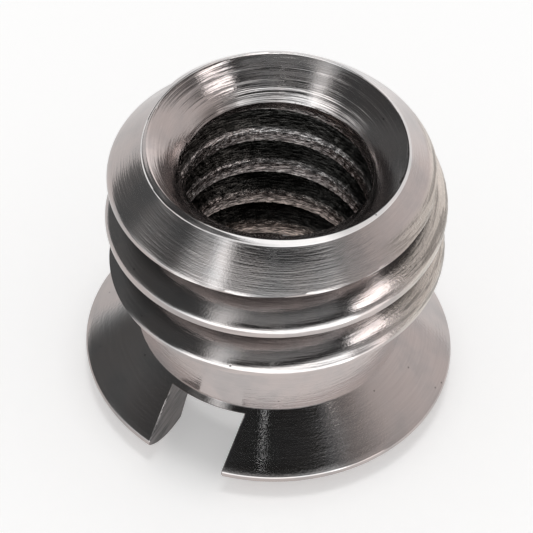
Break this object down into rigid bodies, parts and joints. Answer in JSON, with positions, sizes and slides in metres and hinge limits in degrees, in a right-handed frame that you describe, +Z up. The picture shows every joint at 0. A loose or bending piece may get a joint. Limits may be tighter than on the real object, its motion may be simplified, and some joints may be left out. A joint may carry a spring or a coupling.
{
  "type": "reducer bushing",
  "caption": "Turned steel reducer bushing: coarse outside thread, threaded through hole with a countersunk top, plain neck and a flared flange with a driver slot.",
  "frame": {"origin": "on the axis, at the level of the flat ring under the flange that it stands on", "axes": "+Z up the hole from the flange to the countersunk top; the driver slot runs along Y"},
  "size_m": [0.0103, 0.01, 0.0088],
  "materials": {
    "steel": "bare turned steel, bright, with fine tool marks round the axis"
  },
  "bodies": {
    "root": {"bushing": "steel"}
  },
  "joints": []
}
